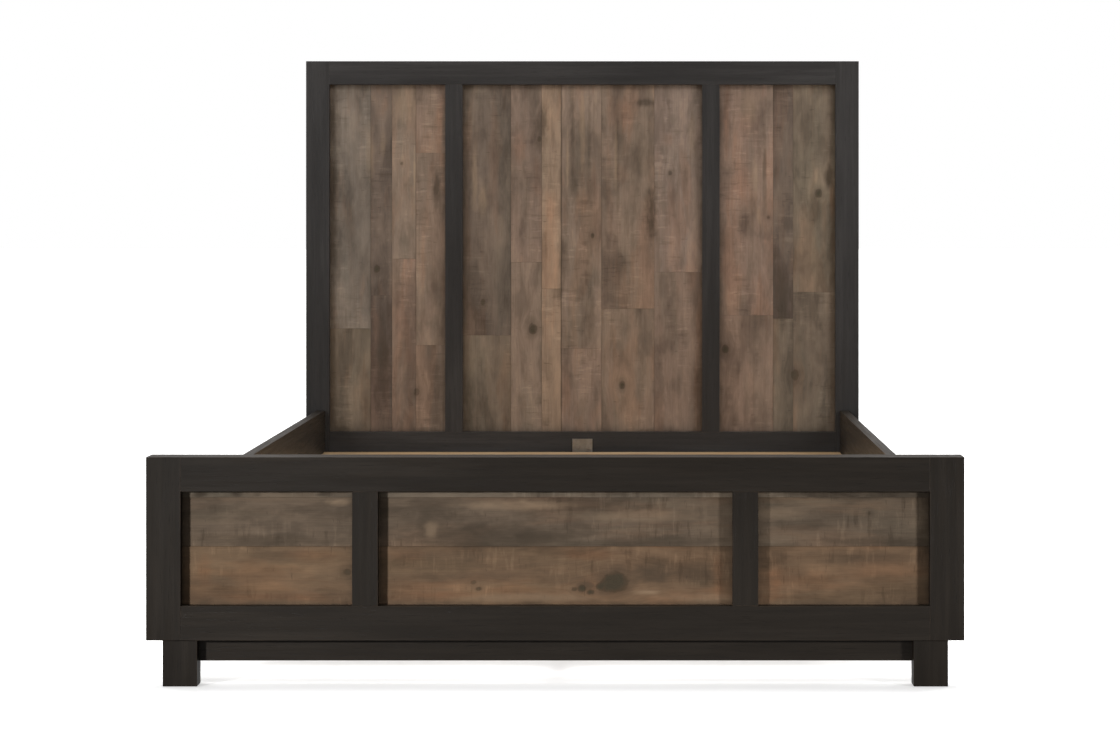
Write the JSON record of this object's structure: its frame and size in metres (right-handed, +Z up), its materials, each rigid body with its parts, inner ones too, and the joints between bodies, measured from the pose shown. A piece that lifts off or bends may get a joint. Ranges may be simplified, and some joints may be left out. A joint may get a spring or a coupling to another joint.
{
  "type": "wooden panel bed frame",
  "caption": "Dark wood queen panel bed frame with reclaimed-look planked headboard and footboard, hook-on side rails, a slatted base and a centre beam on screw feet.",
  "frame": {"origin": "on the floor under the middle of the bed", "axes": "+Y from the foot to the head, +X to the right as seen from the foot, +Z up"},
  "size_m": [1.66, 2.15, 1.424],
  "materials": {
    "frame_wood": "dark charcoal-brown stain, satin lacquer, faint grain",
    "head_planks": "reclaimed-look planks in mixed grey, tan and brown, matt",
    "foot_planks": "reclaimed-look planks, greyer above and redder below, matt",
    "back_sheet": "thin dark-stained hardboard sheet, matt",
    "pine": "planed pine, unfinished",
    "steel": "zinc-plated pressed steel",
    "black_plastic": "moulded, matt"
  },
  "bodies": {
    "bed_frame": {"headboard_top_rail": "frame_wood", "headboard_bottom_rail": "frame_wood", "headboard_mullion_left": "frame_wood", "headboard_mullion_right": "frame_wood", "headboard_panel_left": "head_planks", "headboard_panel_center": "head_planks", "headboard_panel_right": "head_planks", "headboard_back_panel": "back_sheet", "footboard_top_rail": "frame_wood", "footboard_bottom_rail": "frame_wood", "footboard_mullion_left": "frame_wood", "footboard_mullion_right": "frame_wood", "footboard_panel_left": "foot_planks", "footboard_panel_center": "foot_planks", "footboard_panel_right": "foot_planks", "footboard_back_panel": "back_sheet", "headboard_post_left": "frame_wood", "footboard_stile_left": "frame_wood", "footboard_leg_left": "frame_wood", "side_rail_left": "frame_wood", "head_glide_left": "black_plastic", "foot_glide_left": "black_plastic", "slat_cleat_left": "pine", "rail_hook_plate_foot_left": "steel", "post_slot_plate_foot_left": "steel", "rail_hook_plate_head_left": "steel", "post_slot_plate_head_left": "steel", "headboard_post_right": "frame_wood", "footboard_stile_right": "frame_wood", "footboard_leg_right": "frame_wood", "side_rail_right": "frame_wood", "head_glide_right": "black_plastic", "foot_glide_right": "black_plastic", "slat_cleat_right": "pine", "rail_hook_plate_foot_right": "steel", "post_slot_plate_foot_right": "steel", "rail_hook_plate_head_right": "steel", "post_slot_plate_head_right": "steel", "footboard_apron": "frame_wood", "slat_01": "pine", "slat_02": "pine", "slat_03": "pine", "slat_04": "pine", "slat_05": "pine", "slat_06": "pine", "slat_07": "pine", "slat_08": "pine", "slat_09": "pine", "slat_10": "pine", "slat_11": "pine", "slat_12": "pine", "center_beam": "pine", "center_leg_foot": "pine", "center_leg_middle": "pine", "center_leg_head": "pine", "beam_bracket_foot": "steel", "beam_bracket_head": "steel"},
    "leveler_foot": {"leveling_foot_foot": "black_plastic"},
    "leveler_middle": {"leveling_foot_middle": "black_plastic"},
    "leveler_head": {"leveling_foot_head": "black_plastic"}
  },
  "joints": [
    {"name": "leveler_foot_screw", "type": "slide", "parent": "bed_frame", "child": "leveler_foot", "axis": [0, 0, 1], "range_m": [0, 0.012]},
    {"name": "leveler_middle_screw", "type": "slide", "parent": "bed_frame", "child": "leveler_middle", "axis": [0, 0, 1], "range_m": [0, 0.012]},
    {"name": "leveler_head_screw", "type": "slide", "parent": "bed_frame", "child": "leveler_head", "axis": [0, 0, 1], "range_m": [0, 0.012]}
  ]
}
